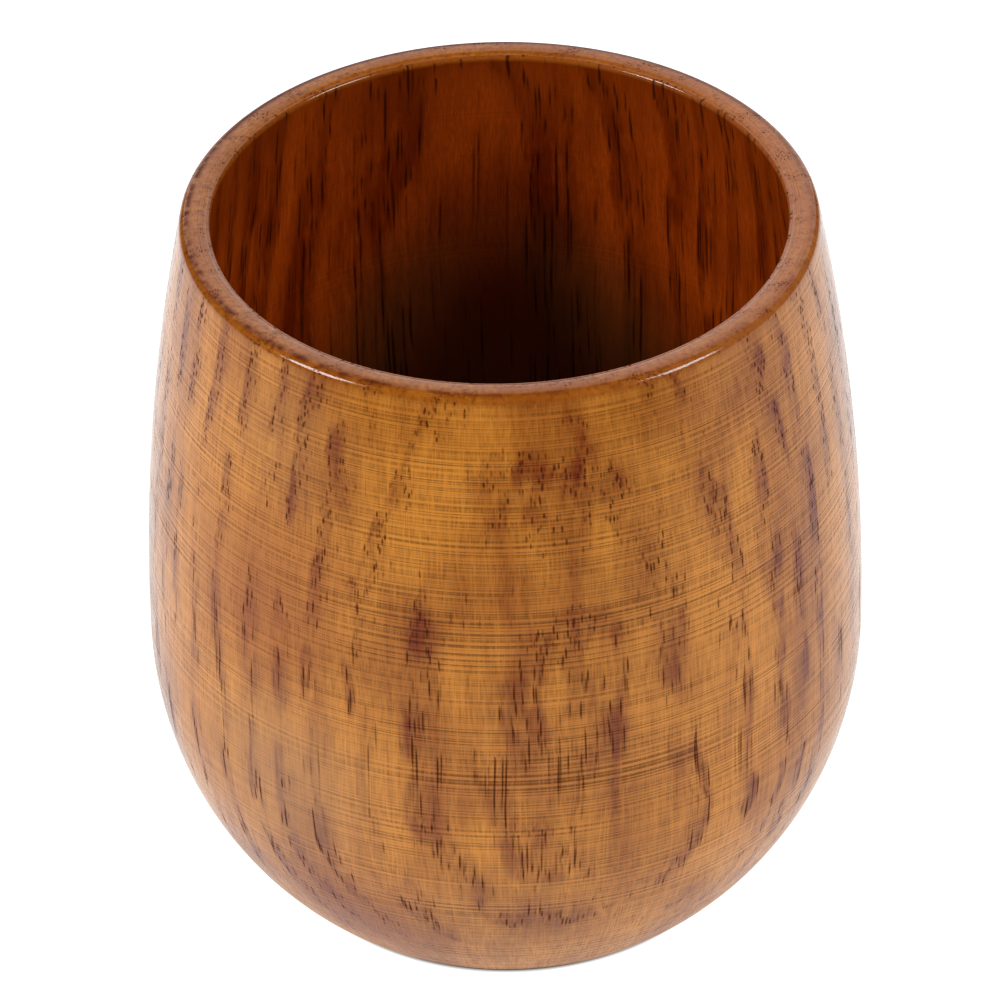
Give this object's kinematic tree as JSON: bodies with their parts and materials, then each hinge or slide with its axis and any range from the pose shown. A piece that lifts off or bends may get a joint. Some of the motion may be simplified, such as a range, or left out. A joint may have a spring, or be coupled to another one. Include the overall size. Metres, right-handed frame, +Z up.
{
  "type": "wooden cup",
  "caption": "Handleless round-bellied drinking cup turned from one block of wood, narrowing to an open rim and standing on a flat foot, lacquered inside and out.",
  "frame": {"origin": "centre of the foot, on the plane that the cup stands on", "axes": "+Z up along the turning axis, towards the open rim; X and Y are alike, because the cup is round"},
  "size_m": [0.0804, 0.0804, 0.0857],
  "materials": {
    "bare_wood": "fine-turned, stained, bare on the foot",
    "outer_finish": "satin-gloss lacquer over stained wood with fine turning lines",
    "inner_finish": "gloss lacquer over stained wood"
  },
  "bodies": {
    "root": {"turned_body": "bare_wood", "outer_lacquer": "outer_finish", "inner_lacquer": "inner_finish"}
  },
  "joints": []
}
